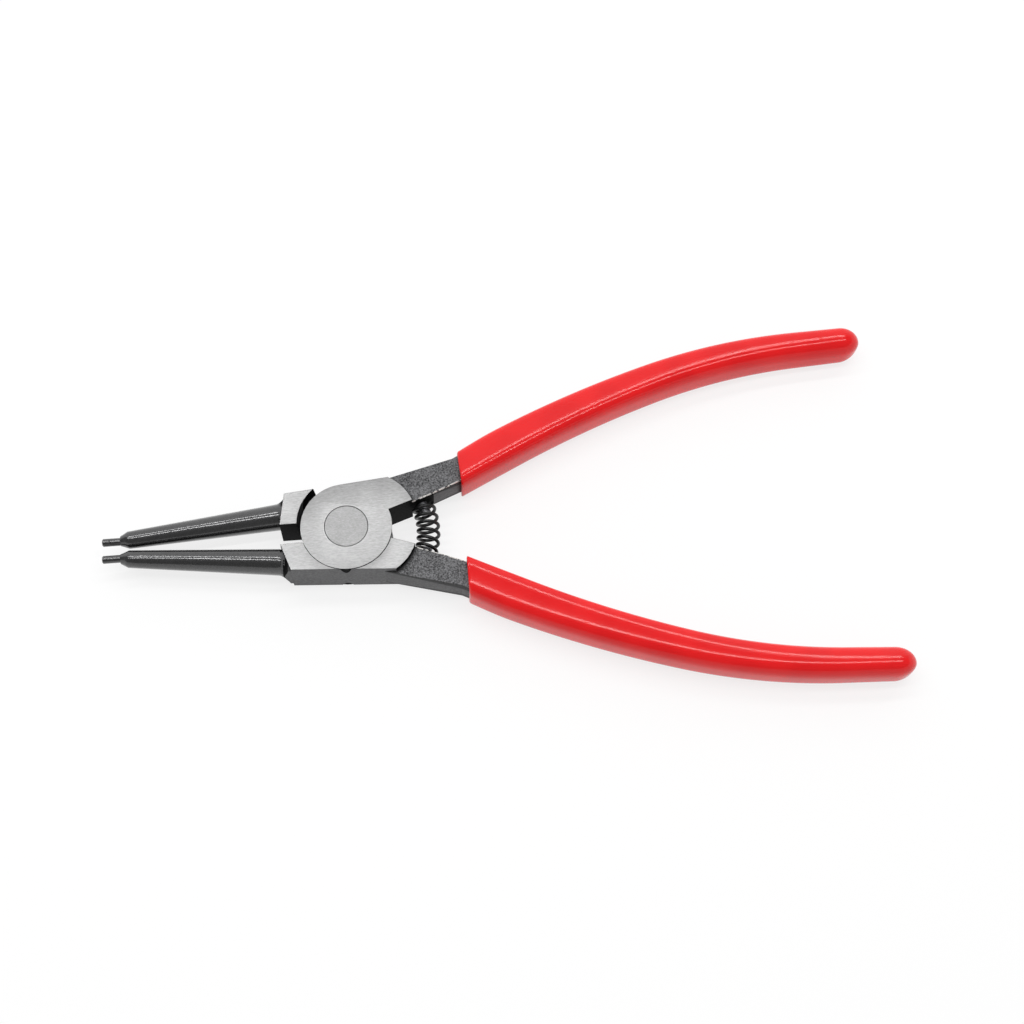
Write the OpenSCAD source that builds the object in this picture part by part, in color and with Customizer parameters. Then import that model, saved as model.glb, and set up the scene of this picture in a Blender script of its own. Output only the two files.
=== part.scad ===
// Circlip pliers for outside rings: straight tips, sprung handles, dipped grips.
// Millimetres. +X runs from the pivot to the handles, +Y to the upper handle, +Z up.
// The origin is where the pivot axis meets the rear ground face of the head.

/* [Head] */
// thickness of the ground head
head_t = 10.2; // [9.4:0.1:11.4]
// radius of the round cheeks about the pivot
cheek_r = 10.3; // [9.4:0.1:11.4]
// thickness of the front cheek
front_cheek_t = 4.5; // [3.6:0.1:5]
// thickness of the rear cheek
rear_cheek_t = 2.6; // [2:0.1:3]
// play between the tongue and each cheek
layer_gap = 0.1; // [0.05:0.01:0.2]
// radial gap between the cheeks and the lower lever
seam_gap = 0.11; // [0.08:0.01:0.2]
// width of the slot between the front cheek and the upper jaw block
slot_w = 0.8; // [0.5:0.05:1.3]
// angle of each handle root's inner side from the tool axis, degrees
root_angle = 19.3; // [17.5:0.1:22]
// how far the jaw blocks reach from the pivot
block_reach = 14.9; // [14:0.1:17]
// half the opening between the jaw blocks, upper side
upper_mouth = 1.45; // [1.2:0.05:3]
// half the opening between the jaw blocks, lower side
lower_mouth = 2.7; // [1.8:0.05:3.4]
// how much wider the lower side of that opening is at its end
lower_flare = 0.6; // [0:0.05:1]

/* [Jaws] */
// distance from the pivot to the jaw ends, without the tip pins
jaw_reach = 49.2; // [40:0.2:62]
// radius of a jaw at its root
jaw_root_r = 3.02; // [2.6:0.02:3.2]
// radius of a jaw at its end
jaw_end_r = 2; // [1.5:0.05:2.2]
// diameter of the tip pins
tip_d = 1.8; // [1.2:0.1:2.3]
// free length of the tip pins
tip_len = 4.1; // [3:0.1:6]
// half the distance between the tip pins
tip_half_gap = 2.05; // [1.9:0.05:2.4]

/* [Pivot] */
// diameter of the rivet
rivet_d = 9.9; // [8:0.1:11]
// radial play of the rivet in the tongue
pivot_play = 0.05; // [0.02:0.01:0.09]
// width of the bevel round each rivet face
rivet_bevel = 0.16; // [0.05:0.01:0.3]

/* [Handles] */
// width of a steel handle where it enters the grip
arm_w = 6.2; // [5.2:0.1:6.8]
// thickness of the steel handles
arm_t = 7; // [6:0.1:7.4]
// distance from the pivot to the grip mouths along the tool axis
mouth_x = 26.4; // [25.5:0.1:31]
// length of the first, gentle bend of a handle
bend_len_1 = 51; // [40:1:66]
// length of the second bend of a handle
bend_len_2 = 36; // [26:1:48]
// straight length at the end of a handle
end_len = 16; // [12:1:28]

/* [Grips] */
// half width of a grip at its mouth
grip_mouth_w = 4.15; // [4:0.05:4.6]
// half width of a grip at its fullest place
grip_full_w = 4.45; // [4.3:0.05:5.2]
// half width of a grip near its end
grip_end_w = 3.45; // [3.3:0.05:4.2]
// half thickness of a grip near its end
grip_end_t = 4.4; // [4.2:0.05:4.9]

/* [Spring] */
// wire diameter of the return spring
wire_d = 0.8; // [0.6:0.05:1]
// mean diameter of the spring coil
coil_d = 4.7; // [4:0.1:5]
// number of turns
turns = 6.5; // [4:0.5:7]
// distance from the pivot to the spring axis
spring_r = 18.4; // [17.6:0.1:19.6]
// diameter of the spring pegs
peg_d = 2.4; // [1.6:0.1:2.6]
// free length of the upper spring peg
upper_peg_len = 2.6; // [1.2:0.1:3]
// free length of the lower spring peg
lower_peg_len = 1.4; // [0.8:0.1:1.8]

/* [Hidden] */
$fn = 96;
// how far a cutter runs past the face it opens
overrun = 1;

// head: three layers, two cheeks with the tongue between them
z_mid = head_t / 2;
front_z = head_t - front_cheek_t;
tongue_z = rear_cheek_t + layer_gap;
tongue_t = front_z - layer_gap - tongue_z;
rim_draft = 0.15;
pocket_shift = 0.04;
upper_edge_a = 5.8;
lower_edge_a = 3.6;
upper_edge_d = cheek_r;
lower_edge_d = cheek_r + 0.03;
slot_draft = 0.4;
slot_rise = 1;
upper_slant = 1.3;
lower_slant = 2.1;
shoulder_r = cheek_r + 1.7;
shoulder_x = 3.95;
shoulder_y = 1;

// jaws: cones that flare into their blocks and end in a short nose and a pin
jaw_root_x = block_reach + 0.9;
upper_jaw_root_y = 5.3;
lower_jaw_root_y = 5.6;
nose_drop = 0.25;
jaw_end_y = tip_half_gap + nose_drop;
jaw_nose_len = 1.8;
nose_spare = 0.2;
nose_step = 0.15;
jaw_nose_r = tip_d / 2 + nose_step;
flare_r = 2.7;
flare_turn = 80;
flare_steps = 8;
flare_inset = 0.08;
flare_lap = 1;
root_lap = 0.7;
tip_bevel = 0.2;
bore_play = 0.02;

// handles: centre line with two bends, and the steel core inside the grip
mouth_a = root_angle + 6.8;
mouth_p = at(mouth_x / cos(mouth_a), mouth_a);
head_0 = root_angle + 9.3;
head_1 = root_angle - 1.6;
head_2 = root_angle - 16.2;
bend_p1 = arc_pt(mouth_p, head_0, head_1, bend_len_1, bend_len_1);
bend_p2 = arc_pt(bend_p1, head_1, head_2, bend_len_2, bend_len_2);
seat_angle = root_angle + 0.3;
seat_end_r = spring_r + 3;
arm_root_r = cheek_r + 1.7;
arm_root_l = cheek_r - 3;
arm_sink = 0.3;
core_setback = 10;
core_len = bend_len_1 + bend_len_2 + end_len - core_setback;
core_end_w = arm_w - 1.9;
core_play = 0.05;
core_steps = 24;
core_lead = 6;

// grips: rings of a rounded oblong section along the centre line
grip_len = bend_len_1 + bend_len_2 + end_len;
grip_t = z_mid - 0.05;
grip_lead = 6;
grip_full_s = 12;
grip_steps = 30;
grip_sides = 28;
grip_power = 2 / 3;
nose_len = 4.8;
nose_steps = 8;
nose_turn = 86;
nose_power = 0.55;

// spring: helix bent about the pivot, with closed end turns on the pegs
coil_r = coil_d / 2;
wire_sides = 8;
coil_steps = 20;
end_turn = 0.5;
end_pitch = 1.06 * wire_d;
end_play = 0.1;
peg_depth = 2.4;
coil_span = seat_angle - (wire_d / 2 + end_play) / (spring_r - coil_r) * 180 / PI;

// point at radius r and angle a about the pivot
function at(r, a) = [r * cos(a), r * sin(a)];

// point at length s along an arc that starts at p and turns from heading a to heading b over length l
function arc_pt(p, a, b, l, s) =
    p + l / ((b - a) * PI / 180) * [sin(a + (b - a) * s / l) - sin(a), cos(a) - cos(a + (b - a) * s / l)];

// centre line of a handle, measured from the grip mouth
function path_pt(s) =
    s < 0 ? mouth_p + s * [cos(head_0), sin(head_0)] :
    s < bend_len_1 ? arc_pt(mouth_p, head_0, head_1, bend_len_1, s) :
    s < bend_len_1 + bend_len_2 ? arc_pt(bend_p1, head_1, head_2, bend_len_2, s - bend_len_1) :
    bend_p2 + (s - bend_len_1 - bend_len_2) * [cos(head_2), sin(head_2)];

// heading of the centre line
function path_head(s) =
    s < 0 ? head_0 :
    s < bend_len_1 ? head_0 + (head_1 - head_0) * s / bend_len_1 :
    s < bend_len_1 + bend_len_2 ? head_1 + (head_2 - head_1) * (s - bend_len_1) / bend_len_2 :
    head_2;

// point beside the centre line, w to the outer side
function beside(s, w) = path_pt(s) + w * [-sin(path_head(s)), cos(path_head(s))];

// foot of the straight head edge at distance d and slope a
function edge_foot(d, a) = [-d * sin(a), d * cos(a)];

// point on that edge at length l from its foot
function edge_pt(d, a, l) = edge_foot(d, a) + l * [cos(a), sin(a)];

// half width of the steel core inside a grip
function core_w(s) = arm_w / 2 + (core_end_w - arm_w) / 2 * max(s, 0) / core_len;

// points along one side of the core from length s0 to s1, with the core grown by play
function core_side(s0, s1, side, play) =
    [for (i = [0 : core_steps]) let (s = s0 + (s1 - s0) * i / core_steps)
        beside(s, side * (core_w(s) + play))];

// list in the other order
function reverse(list) = [for (i = [len(list) - 1 : -1 : 0]) list[i]];

// half width of a grip
function grip_w(s) =
    s < grip_full_s ? grip_mouth_w + (grip_full_w - grip_mouth_w) * sin(90 * max(s, 0) / grip_full_s) :
    grip_full_w + (grip_end_w - grip_full_w) * (s - grip_full_s) / (grip_len - grip_full_s);

// half thickness of a grip
function grip_h(s) = grip_t + (grip_end_t - grip_t) * max(s, 0) / grip_len;

// shrink of the grip section towards its rounded end
function nose_k(s) = s < grip_len - nose_len ? 1 :
    pow(max(1 - pow((s - grip_len + nose_len) / nose_len, 2), 0), nose_power);

// stations along a grip: even up to the nose, then closing in on the end
function grip_s(i) = i <= grip_steps ?
    -grip_lead + (grip_len - nose_len + grip_lead) * i / grip_steps :
    grip_len - nose_len + nose_len * sin(nose_turn * (i - grip_steps) / nose_steps);

// rounded power of a cosine or sine
function soft(c) = sign(c) * pow(abs(c), grip_power);

// one point of the grip surface
function grip_pt(s, a) = let (q = beside(s, grip_w(s) * nose_k(s) * soft(cos(a))))
    [q[0], q[1], z_mid + grip_h(s) * nose_k(s) * soft(sin(a))];

// part of the spring length reached after u turns; the end turns lie close
function coil_part(u) =
    let (close = end_turn * end_pitch / (2 * spring_r * coil_span * PI / 180))
    u < end_turn ? close * u / end_turn :
    u > turns - end_turn ? 1 - close * (turns - u) / end_turn :
    close + (1 - 2 * close) * (u - end_turn) / (turns - 2 * end_turn);

// one point of the left-hand wound spring's surface, u turns from the upper end
function wire_pt(u, a) =
    let (t = coil_span * (1 - 2 * coil_part(u)))
    let (r = spring_r + (coil_r + wire_d / 2 * cos(a)) * cos(360 * u))
    let (z = z_mid - (coil_r + wire_d / 2 * cos(a)) * sin(360 * u))
    let (w = wire_d / 2 * sin(a))
    [r * cos(t) - w * sin(t), r * sin(t) + w * cos(t), z];

// faces that join rings of n points, m rings in all, with flat ends
function ring_faces(n, m) = concat(
    [[for (j = [0 : n - 1]) j]],
    [for (i = [0 : m - 2]) for (j = [0 : n - 1])
        [i * n + j, (i + 1) * n + j, (i + 1) * n + (j + 1) % n, i * n + (j + 1) % n]],
    [[for (j = [n - 1 : -1 : 0]) (m - 1) * n + j]]);

// ground block at the root of a handle
module root_block(edge_d, edge_a) {
    intersection() {
        linear_extrude(head_t)
            polygon([[0, 0], edge_foot(edge_d, edge_a), edge_pt(edge_d, edge_a, 2 * cheek_r),
                     at(2 * cheek_r, root_angle)]);
        translate([shoulder_x, shoulder_y, 0])
            cylinder(r = shoulder_r, h = head_t);
    }
}

// outline of a jaw block, widened by reach towards the jaw
module block_shape(edge_d, edge_a, mouth_y, flare, slant, reach) {
    left = [-block_reach - reach, mouth_y + flare * (block_reach + reach) / block_reach];
    top_l = (block_reach - slant + reach) / cos(edge_a) - edge_d * tan(edge_a);
    polygon([left, [0, mouth_y], edge_foot(edge_d, edge_a), edge_pt(edge_d, edge_a, -top_l)]);
}

// round tapered jaw with its flare, tip pin and a nose cut square to the tool axis
module jaw(edge_d, edge_a, mouth_y, flare, slant, root_y) {
    run = jaw_reach - jaw_root_x;
    lean = atan((root_y - jaw_end_y) / run);
    length = run / cos(lean);
    nose_x = length + jaw_nose_len + nose_spare;
    intersection() {
        translate([-jaw_root_x, root_y, z_mid])
            rotate([0, 0, lean])
            rotate([0, -90, 0])
            rotate_extrude()
            polygon(concat(
                [[0, nose_x], [jaw_nose_r, nose_x], [jaw_end_r, length], [jaw_root_r, 0]],
                [for (i = [1 : flare_steps]) let (a = flare_turn * i / flare_steps)
                    [jaw_root_r + flare_r * (1 - cos(a)), -flare_r * sin(a)]],
                [[jaw_root_r + flare_r * (1 - cos(flare_turn)), -flare_r * sin(flare_turn) - flare_lap],
                 [0, -flare_r * sin(flare_turn) - flare_lap]]));
        union() {
            translate([0, 0, flare_inset])
                linear_extrude(head_t - 2 * flare_inset)
                block_shape(edge_d - flare_inset, edge_a, mouth_y + flare_inset, flare, slant, flare_r);
            translate([-jaw_reach - jaw_nose_len, -jaw_root_r, 0])
                cube([jaw_reach + jaw_nose_len - jaw_root_x + root_lap, 4 * jaw_root_r, head_t]);
        }
    }
    translate([-jaw_reach - jaw_nose_len - tip_len, tip_half_gap, z_mid])
        rotate([0, 90, 0]) {
            cylinder(d1 = tip_d - 2 * tip_bevel, d2 = tip_d, h = tip_bevel);
            translate([0, 0, tip_bevel])
                cylinder(d = tip_d, h = tip_len + jaw_nose_len - tip_bevel);
        }
}

// steel handle from the head to its end inside the grip
module arm(edge_d, edge_a) {
    translate([0, 0, z_mid - arm_t / 2])
        linear_extrude(arm_t)
        polygon(concat(
            [edge_pt(edge_d - arm_sink, edge_a, arm_root_l), at(arm_root_r, seat_angle),
             at(seat_end_r, seat_angle)],
            core_side(0, core_len, -1, 0),
            reverse(core_side(0, core_len, 1, 0))));
}

// dipped coat on one handle
module grip() {
    rings = grip_steps + nose_steps + 1;
    difference() {
        polyhedron(
            points = [for (i = [0 : rings - 1]) for (j = [0 : grip_sides - 1])
                          grip_pt(grip_s(i), 360 * j / grip_sides)],
            faces = ring_faces(grip_sides, rings));
        translate([mouth_x - 4 * grip_full_w, -grip_len, -head_t])
            cube([4 * grip_full_w, 2 * grip_len, 3 * head_t]);
        translate([0, 0, z_mid - arm_t / 2 - core_play])
            linear_extrude(arm_t + 2 * core_play)
            polygon(concat(
                core_side(-core_lead, core_len + core_play, -1, core_play),
                reverse(core_side(-core_lead, core_len + core_play, 1, core_play))));
    }
}

// round peg at a spring seat of the upper lever, grown by play
module seat_peg(free_len, play) {
    translate(concat(at(spring_r, seat_angle), z_mid))
        rotate([0, 0, seat_angle])
        rotate([90, 0, 0])
        translate([0, 0, -peg_depth - play])
        cylinder(d = peg_d + 2 * play, h = peg_depth + play + free_len);
}

module upper_lever() {
    color([0.45, 0.45, 0.46])
    difference() {
        union() {
            cylinder(r1 = cheek_r, r2 = cheek_r - rim_draft, h = rear_cheek_t);
            translate([0, 0, front_z])
                cylinder(r1 = cheek_r - rim_draft, r2 = cheek_r, h = front_cheek_t);
            difference() {
                root_block(upper_edge_d, upper_edge_a);
                translate([0, 0, rear_cheek_t])
                    cylinder(r = cheek_r + seam_gap, h = front_z - rear_cheek_t);
            }
            difference() {
                linear_extrude(head_t)
                    block_shape(upper_edge_d, upper_edge_a, upper_mouth, 0, upper_slant, 0);
                translate([0, slot_rise, rear_cheek_t])
                    cylinder(r1 = cheek_r + slot_w - slot_draft, r2 = cheek_r + slot_w,
                             h = head_t - rear_cheek_t);
            }
            arm(upper_edge_d, upper_edge_a);
            jaw(upper_edge_d, upper_edge_a, upper_mouth, 0, upper_slant, upper_jaw_root_y);
        }
        translate([0, 0, -overrun])
            cylinder(d = rivet_d + 2 * bore_play, h = head_t + 2 * overrun);
        seat_peg(overrun, bore_play);
    }
}

module lower_lever() {
    color([0.42, 0.42, 0.43])
    mirror([0, 1, 0])
    difference() {
        union() {
            root_block(lower_edge_d, lower_edge_a);
            linear_extrude(head_t)
                block_shape(lower_edge_d, lower_edge_a, lower_mouth, lower_flare, lower_slant, 0);
            translate([0, 0, tongue_z])
                cylinder(r = cheek_r - rim_draft, h = tongue_t);
            arm(lower_edge_d, lower_edge_a);
            jaw(lower_edge_d, lower_edge_a, lower_mouth, lower_flare, lower_slant, lower_jaw_root_y);
        }
        translate([pocket_shift, 0, front_z - layer_gap])
            cylinder(r1 = cheek_r + seam_gap - rim_draft, r2 = cheek_r + seam_gap,
                     h = front_cheek_t + layer_gap);
        translate([pocket_shift, 0, 0])
            cylinder(r1 = cheek_r + seam_gap, r2 = cheek_r + seam_gap - rim_draft, h = tongue_z);
        translate([0, 0, -overrun])
            cylinder(d = rivet_d + 2 * pivot_play, h = head_t + 2 * overrun);
        seat_peg(overrun, bore_play);
    }
}

module pivot_rivet() {
    color([0.7, 0.7, 0.7]) {
        cylinder(d1 = rivet_d - 2 * rivet_bevel, d2 = rivet_d, h = rivet_bevel);
        translate([0, 0, rivet_bevel])
            cylinder(d = rivet_d, h = head_t - 2 * rivet_bevel);
        translate([0, 0, head_t - rivet_bevel])
            cylinder(d1 = rivet_d, d2 = rivet_d - 2 * rivet_bevel, h = rivet_bevel);
    }
}

module return_spring() {
    color([0.15, 0.15, 0.16])
    polyhedron(
        points = [for (i = [0 : turns * coil_steps]) for (j = [0 : wire_sides - 1])
                      wire_pt(i / coil_steps, 360 * j / wire_sides)],
        faces = ring_faces(wire_sides, turns * coil_steps + 1));
}

module upper_spring_peg() {
    color([0.5, 0.5, 0.5])
    seat_peg(upper_peg_len, 0);
}

module lower_spring_peg() {
    color([0.5, 0.5, 0.5])
    mirror([0, 1, 0])
    seat_peg(lower_peg_len, 0);
}

module upper_grip() {
    color([0.85, 0.1, 0.12])
    grip();
}

module lower_grip() {
    color([0.85, 0.1, 0.12])
    mirror([0, 1, 0])
    grip();
}

upper_lever();
lower_lever();
pivot_rivet();
return_spring();
upper_spring_peg();
lower_spring_peg();
upper_grip();
lower_grip();
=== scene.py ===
"""The looks of a pair of circlip pliers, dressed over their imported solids.

Sizes in the classes are millimetres and degrees, in the solids' own frame: the pivot axis is at x = y = 0,
+X runs to the handles, +Y to the upper handle and +Z out of the front face.
"""

import logging
import math
from dataclasses import dataclass, field
from enum import Enum
from typing import Any

import bmesh
import bpy
from bmesh.types import BMEdge, BMesh, BMFace, BMVert
from bpy.types import GeometryNodeTree, Material, Mesh, Node, NodeSocket, NodeTree, Object
from mathutils import Matrix, Vector


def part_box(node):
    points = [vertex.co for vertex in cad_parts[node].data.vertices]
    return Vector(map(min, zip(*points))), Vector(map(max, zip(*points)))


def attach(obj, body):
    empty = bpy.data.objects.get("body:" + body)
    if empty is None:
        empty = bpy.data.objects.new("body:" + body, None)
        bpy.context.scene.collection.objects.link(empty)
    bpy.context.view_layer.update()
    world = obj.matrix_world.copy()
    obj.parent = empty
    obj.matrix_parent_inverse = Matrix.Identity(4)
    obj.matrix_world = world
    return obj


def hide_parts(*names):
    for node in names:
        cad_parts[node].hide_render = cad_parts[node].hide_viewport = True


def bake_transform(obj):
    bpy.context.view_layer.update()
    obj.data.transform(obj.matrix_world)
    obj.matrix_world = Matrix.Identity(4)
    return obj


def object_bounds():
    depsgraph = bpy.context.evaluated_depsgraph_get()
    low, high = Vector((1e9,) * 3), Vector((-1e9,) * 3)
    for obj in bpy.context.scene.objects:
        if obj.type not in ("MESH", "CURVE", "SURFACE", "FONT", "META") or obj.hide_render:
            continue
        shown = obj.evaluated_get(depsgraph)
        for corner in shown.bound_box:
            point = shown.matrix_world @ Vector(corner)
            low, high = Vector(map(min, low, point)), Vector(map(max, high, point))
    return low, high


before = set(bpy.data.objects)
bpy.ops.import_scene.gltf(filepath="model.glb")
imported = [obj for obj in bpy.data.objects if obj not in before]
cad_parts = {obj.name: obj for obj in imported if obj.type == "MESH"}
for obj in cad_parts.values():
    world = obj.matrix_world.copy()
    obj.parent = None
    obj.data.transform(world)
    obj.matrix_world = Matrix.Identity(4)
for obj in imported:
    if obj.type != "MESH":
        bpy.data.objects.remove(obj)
CAD_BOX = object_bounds()
MM = 0.001
LOG = logging.getLogger("circlip_pliers")

# Vertex attribute of the levers: how far an edge is rubbed bare, from 0 to 1.
WORN = "worn"
WHITE = (1.0, 1.0, 1.0, 1.0)
# A Mix node's colour sockets share their names with its other ones, so they go by number.
FACTOR, COLOUR_A, COLOUR_B, MIXED = 0, 6, 7, 2

Colour = tuple[float, float, float, float]
Point = tuple[float, float]
Range = tuple[float, float]
Inputs = dict[str | int, Any]


class Body(Enum):
    """The two halves of the pliers that turn about the pivot."""

    UPPER = "upper_half"
    LOWER = "lower_half"


class Side(Enum):
    """Which handle a piece is on, as the sign of its side of the tool's axis."""

    UPPER = 1
    LOWER = -1


class Surface(Enum):
    """How a face was made or what light or shade is painted on it, as its material's number on the mesh."""

    GROUND = 0
    FORGED = 1
    TRIMMED = 2
    TURNED = 3
    MILLED = 4
    INNER = 5
    DRAFTED = 6


def linear(hex_colour: str) -> Colour:
    """Turn an sRGB colour into the linear one that shaders take.

    Args:
        hex_colour: The colour as "#RRGGBB".

    Returns:
        Linear red, green and blue, with an alpha of 1.
    """
    shares = [int(hex_colour[i : i + 2], 16) / 255 for i in (1, 3, 5)]
    red, green, blue = (s / 12.92 if s <= 0.04045 else ((s + 0.055) / 1.055) ** 2.4 for s in shares)
    return red, green, blue, 1.0


def per_metre(size_mm: float) -> float:
    """Scale of a pattern on Object coordinates whose features are size_mm wide."""
    return 1 / (size_mm * MM)


def fill(tree: NodeTree, node: Node, inputs: Inputs) -> None:
    """Give a node's inputs their values or links.

    Args:
        tree: The node's tree.
        node: The node.
        inputs: Values, sockets to link, or nodes to link by their first output, by name or number.
    """
    for key, value in inputs.items():
        source = value.outputs[0] if isinstance(value, Node) else value
        if isinstance(source, NodeSocket):
            tree.links.new(source, node.inputs[key])
        else:
            node.inputs[key].default_value = source


def add_node(tree: NodeTree, kind: str, inputs: Inputs | None = None, **settings: Any) -> Node:
    """Add a node with its settings, values and links.

    Args:
        tree: The tree that gets the node.
        kind: The node's type name.
        inputs: What its inputs get, as fill takes it.
        settings: The node's own properties.

    Returns:
        The new node.
    """
    node = tree.nodes.new(kind)
    for name, value in settings.items():
        setattr(node, name, value)
    fill(tree, node, inputs or {})
    return node


def new_material(name: str) -> tuple[Material, Node, NodeSocket]:
    """Start a material with one Principled shader.

    Args:
        name: The material's name.

    Returns:
        The material, its shader node, and the Object coordinates.
    """
    material = bpy.data.materials.new(name)
    material.use_nodes = True
    coords = add_node(material.node_tree, "ShaderNodeTexCoord")
    return material, material.node_tree.nodes["Principled BSDF"], coords.outputs["Object"]


@dataclass(frozen=True)
class GroundSteel:
    """Carbon steel, surface ground dry: pale grey, with short scratches along the tool and a satin sheen.

    Real grinding scratches are hundredths of a millimetre wide. They are drawn as coarse as they need
    to show.
    """

    name: str = "ground_steel"
    pale: str = "#A6A6A6"
    dull: str = "#848484"
    scratch_len: float = 1.0
    scratch_w: float = 0.22
    cloud: float = 6.0
    cloud_share: float = 0.35
    tones: Range = (0.4, 0.95)
    roughness: Range = (0.35, 0.49)
    relief: float = 0.012
    bump: float = 0.5

    def material(self) -> Material:
        """Make the material.

        Returns:
            The ground steel material.
        """
        material, shader, coords = new_material(self.name)
        tree = material.node_tree
        stretch = (per_metre(self.scratch_len), per_metre(self.scratch_w), per_metre(self.scratch_w))
        along = add_node(tree, "ShaderNodeMapping", {"Vector": coords, "Scale": stretch})
        scratches = add_node(tree, "ShaderNodeTexNoise", {
            "Vector": along, "Scale": 1.0, "Detail": 3.0, "Roughness": 0.65})
        clouds = add_node(tree, "ShaderNodeTexNoise", {
            "Vector": coords, "Scale": per_metre(self.cloud), "Detail": 2.0})
        both = add_node(tree, "ShaderNodeMath", {
            0: clouds, 1: self.cloud_share, 2: scratches}, operation="MULTIPLY_ADD")
        tone = add_node(tree, "ShaderNodeMapRange", {
            "Value": both, "From Min": self.tones[0], "From Max": self.tones[1]})
        colour = add_node(tree, "ShaderNodeMix", {
            FACTOR: tone, COLOUR_A: linear(self.dull), COLOUR_B: linear(self.pale)}, data_type="RGBA")
        rough = add_node(tree, "ShaderNodeMapRange", {
            "Value": scratches, "To Min": self.roughness[0], "To Max": self.roughness[1]})
        bump = add_node(tree, "ShaderNodeBump", {
            "Height": scratches, "Strength": self.bump, "Distance": self.relief * MM})
        fill(tree, shader, {
            "Metallic": 1.0, "Base Color": colour.outputs[MIXED], "Roughness": rough, "Normal": bump})
        return material


@dataclass(frozen=True)
class BlackenedSteel:
    """Drop-forged steel, blasted and black-oxidised: dark grey with a pebbled skin that sparkles a little.

    A real blasted grain is about a tenth of a millimetre; it is drawn as coarse as it needs to show. Where
    hands and other tools rub an edge, the black is gone and bright steel shows in dashes.
    """

    name: str
    base: str
    speck: str
    pebble: float
    relief: float
    roughness: float
    rough_spread: float = 0.1
    metallic: float = 0.55
    specular: float = 0.5
    blotch: float = 0.25
    blotch_pebbles: float = 9.0
    contrast: float = 0.2
    bump: float = 0.9
    oil: float = 0.0
    oil_roughness: float = 0.09
    oil_ior: float = 1.7
    worn: str = "#E2E0DC"
    worn_patch: float = 0.7
    bare: Range = (0.44, 0.52)
    # Painted shade in the corner at the head's round step: its reach, centre, colour and depth.
    corner_shade: Range | None = None
    corner_shade_at: Point = (3.95, 1.0)
    corner_shade_colour: str = "#080808"
    corner_shade_depth: float = 0.9

    def material(self) -> Material:
        """Make the material; the piece's worn attribute bares patches of bright steel on its edges.

        Returns:
            The blackened steel material.
        """
        material, shader, coords = new_material(self.name)
        tree = material.node_tree
        pebbles = add_node(tree, "ShaderNodeTexNoise", {
            "Vector": coords, "Scale": per_metre(self.pebble), "Detail": 2.5, "Roughness": 0.6})
        blotches = add_node(tree, "ShaderNodeTexNoise", {
            "Vector": coords, "Scale": per_metre(self.blotch_pebbles * self.pebble), "Detail": 2.0})
        grain = add_node(tree, "ShaderNodeMath", {
            0: blotches, 1: self.blotch, 2: pebbles}, operation="MULTIPLY_ADD")
        middle = 0.5 + self.blotch / 2
        tone = add_node(tree, "ShaderNodeMapRange", {
            "Value": grain, "From Min": middle - self.contrast, "From Max": middle + self.contrast})
        oxide = add_node(tree, "ShaderNodeMix", {
            FACTOR: tone, COLOUR_A: linear(self.base), COLOUR_B: linear(self.speck)}, data_type="RGBA")
        worn = add_node(tree, "ShaderNodeAttribute", attribute_name=WORN)
        patches = add_node(tree, "ShaderNodeTexNoise", {
            "Vector": coords, "Scale": per_metre(self.worn_patch), "Detail": 3.0, "Roughness": 0.7})
        bare = add_node(tree, "ShaderNodeMapRange", {
            "Value": patches, "From Min": self.bare[0], "From Max": self.bare[1]})
        rubbed = add_node(tree, "ShaderNodeMath", {0: bare, 1: worn.outputs["Fac"]}, operation="MULTIPLY")
        skin = add_node(tree, "ShaderNodeMix", {
            FACTOR: rubbed, COLOUR_A: oxide.outputs[MIXED], COLOUR_B: linear(self.worn)}, data_type="RGBA")
        # Painted shade: darkens the corner where the handle meets the head's round step.
        if self.corner_shade:
            skin = self.paint_corner_shade(tree, coords, skin)
        rough = add_node(tree, "ShaderNodeMapRange", {
            "Value": pebbles,
            "To Min": self.roughness + self.rough_spread, "To Max": self.roughness - self.rough_spread})
        bump = add_node(tree, "ShaderNodeBump", {
            "Height": grain, "Strength": self.bump, "Distance": self.relief * MM})
        fill(tree, shader, {
            "Metallic": self.metallic, "Specular IOR Level": self.specular,
            "Base Color": skin.outputs[MIXED], "Roughness": rough, "Normal": bump, "Coat Weight": self.oil,
            "Coat Roughness": self.oil_roughness, "Coat IOR": self.oil_ior, "Coat Normal": bump})
        return material

    def paint_corner_shade(self, tree: NodeTree, coords: NodeSocket, skin: Node) -> Node:
        """Paint shade into the corner where the handle meets the round step of the head; both sides are
        alike.

        Args:
            tree: The material's tree.
            coords: The Object coordinates.
            skin: The Mix node that gives the clean colour.

        Returns:
            The Mix node that gives the colour with painted shade in the corner.
        """
        folded = add_node(tree, "ShaderNodeVectorMath", {0: coords}, operation="ABSOLUTE")
        flat = add_node(tree, "ShaderNodeVectorMath", {0: folded, 1: (1, 1, 0)}, operation="MULTIPLY")
        centre = (self.corner_shade_at[0] * MM, self.corner_shade_at[1] * MM, 0)
        away = add_node(tree, "ShaderNodeVectorMath", {0: flat, 1: centre}, operation="DISTANCE")
        near, far = self.corner_shade
        depth = add_node(tree, "ShaderNodeMapRange", {
            "Value": away.outputs["Value"], "From Min": near * MM, "From Max": far * MM,
            "To Min": self.corner_shade_depth, "To Max": 0.0})
        return add_node(tree, "ShaderNodeMix", {
            FACTOR: depth, COLOUR_A: skin.outputs[MIXED], COLOUR_B: linear(self.corner_shade_colour)},
            data_type="RGBA")


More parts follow.
